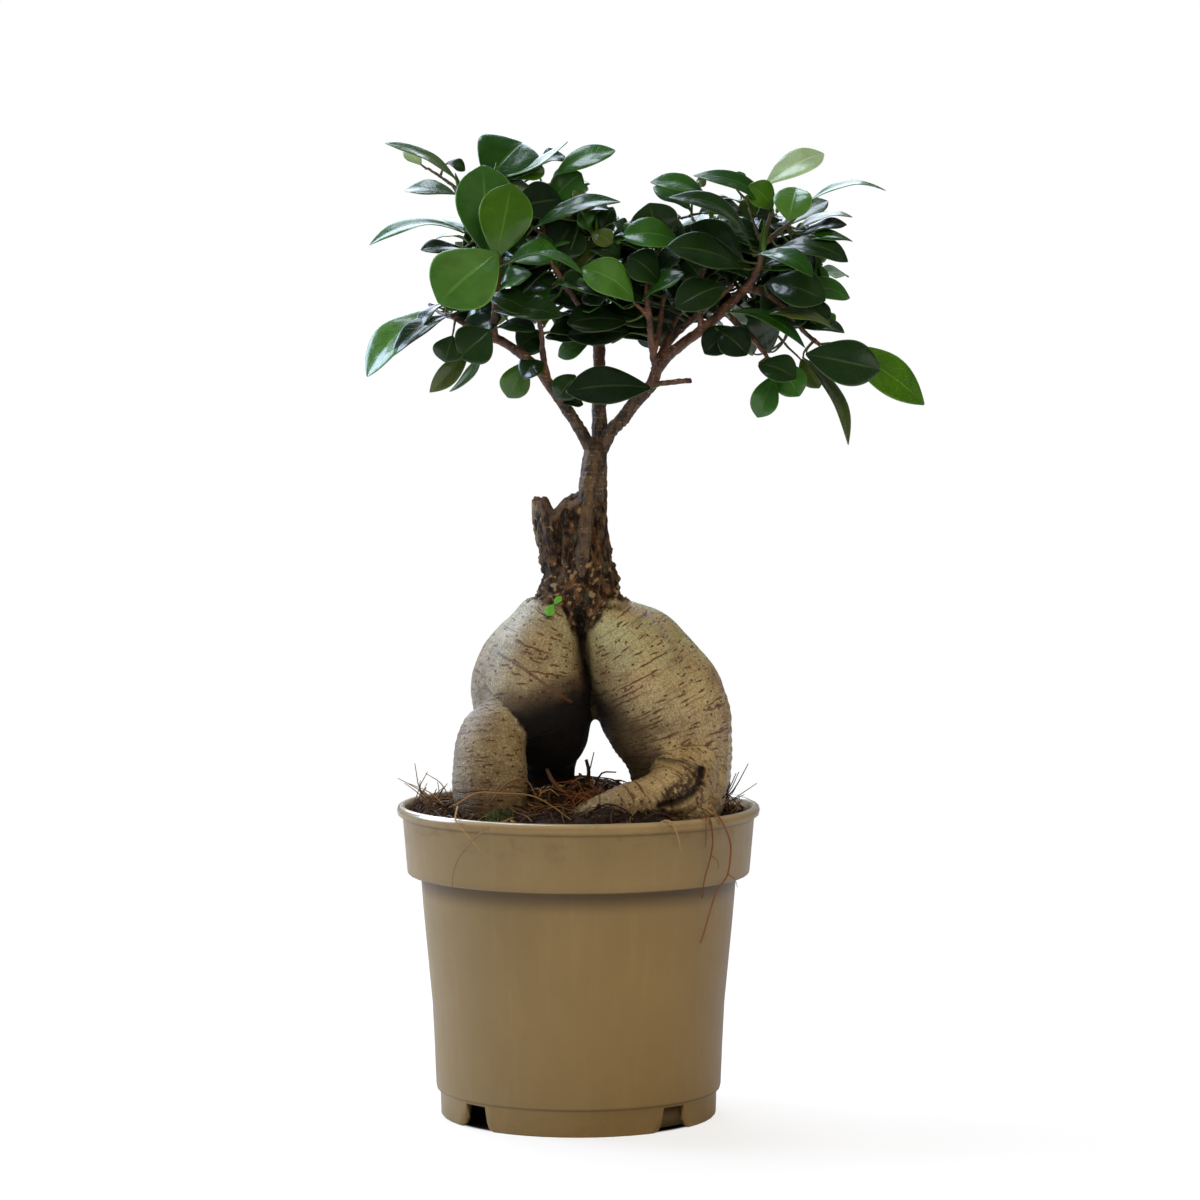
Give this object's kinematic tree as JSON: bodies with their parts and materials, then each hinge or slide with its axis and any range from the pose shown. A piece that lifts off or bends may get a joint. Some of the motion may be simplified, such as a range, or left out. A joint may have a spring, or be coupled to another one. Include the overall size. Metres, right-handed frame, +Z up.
{
  "type": "potted ginseng ficus bonsai",
  "caption": "Ginseng ficus bonsai standing on swollen roots in a tapered plastic nursery pot, with a grafted crown of separate leaves.",
  "frame": {"origin": "on the ground under the middle of the whole plant's bounding box; the pot's own axis is 26.4 mm from it towards -X", "axes": "+Z up along the pot's axis, the plant's front faces -Y, the longer side of the crown points to +X"},
  "size_m": [0.2138, 0.14, 0.3776],
  "materials": {
    "pot_plastic": "satin taupe injection-moulded plastic",
    "peat": "loose dark peat with fibres",
    "caudex_bark": "smooth pale root skin with brown lenticels",
    "shoot_bark": "matt brown bark",
    "leaf_blade": "leathery glossy green"
  },
  "bodies": {
    "root": {"caudex": "caudex_bark", "leaf_left_01": "leaf_blade", "leaf_left_02": "leaf_blade", "leaf_left_03": "leaf_blade", "leaf_left_04": "leaf_blade", "leaf_left_05": "leaf_blade", "leaf_left_06": "leaf_blade", "leaf_left_07": "leaf_blade", "leaf_left_08": "leaf_blade", "leaf_left_09": "leaf_blade", "leaf_left_10": "leaf_blade", "leaf_left_11": "leaf_blade", "leaf_left_12": "leaf_blade", "leaf_left_13": "leaf_blade", "leaf_left_14": "leaf_blade", "leaf_left_15": "leaf_blade", "leaf_left_16": "leaf_blade", "leaf_left_17": "leaf_blade", "leaf_left_18": "leaf_blade", "leaf_left_19": "leaf_blade", "leaf_left_20": "leaf_blade", "leaf_left_21": "leaf_blade", "leaf_left_22": "leaf_blade", "leaf_left_23": "leaf_blade", "leaf_left_24": "leaf_blade", "leaf_left_25": "leaf_blade", "leaf_left_26": "leaf_blade", "leaf_left_27": "leaf_blade", "leaf_left_28": "leaf_blade", "leaf_left_29": "leaf_blade", "leaf_right_01": "leaf_blade", "leaf_right_02": "leaf_blade", "leaf_right_03": "leaf_blade", "leaf_right_04": "leaf_blade", "leaf_right_05": "leaf_blade", "leaf_right_06": "leaf_blade", "leaf_right_07": "leaf_blade", "leaf_right_08": "leaf_blade", "leaf_right_09": "leaf_blade", "leaf_right_10": "leaf_blade", "leaf_right_11": "leaf_blade", "leaf_right_12": "leaf_blade", "leaf_right_13": "leaf_blade", "leaf_right_14": "leaf_blade", "leaf_right_15": "leaf_blade", "leaf_right_16": "leaf_blade", "leaf_right_17": "leaf_blade", "leaf_right_18": "leaf_blade", "leaf_right_19": "leaf_blade", "leaf_right_20": "leaf_blade", "leaf_right_21": "leaf_blade", "leaf_right_22": "leaf_blade", "leaf_right_23": "leaf_blade", "leaf_right_24": "leaf_blade", "leaf_right_25": "leaf_blade", "leaf_right_26": "leaf_blade", "leaf_right_27": "leaf_blade", "pot": "pot_plastic", "scion": "shoot_bark", "soil": "peat"}
  },
  "joints": []
}
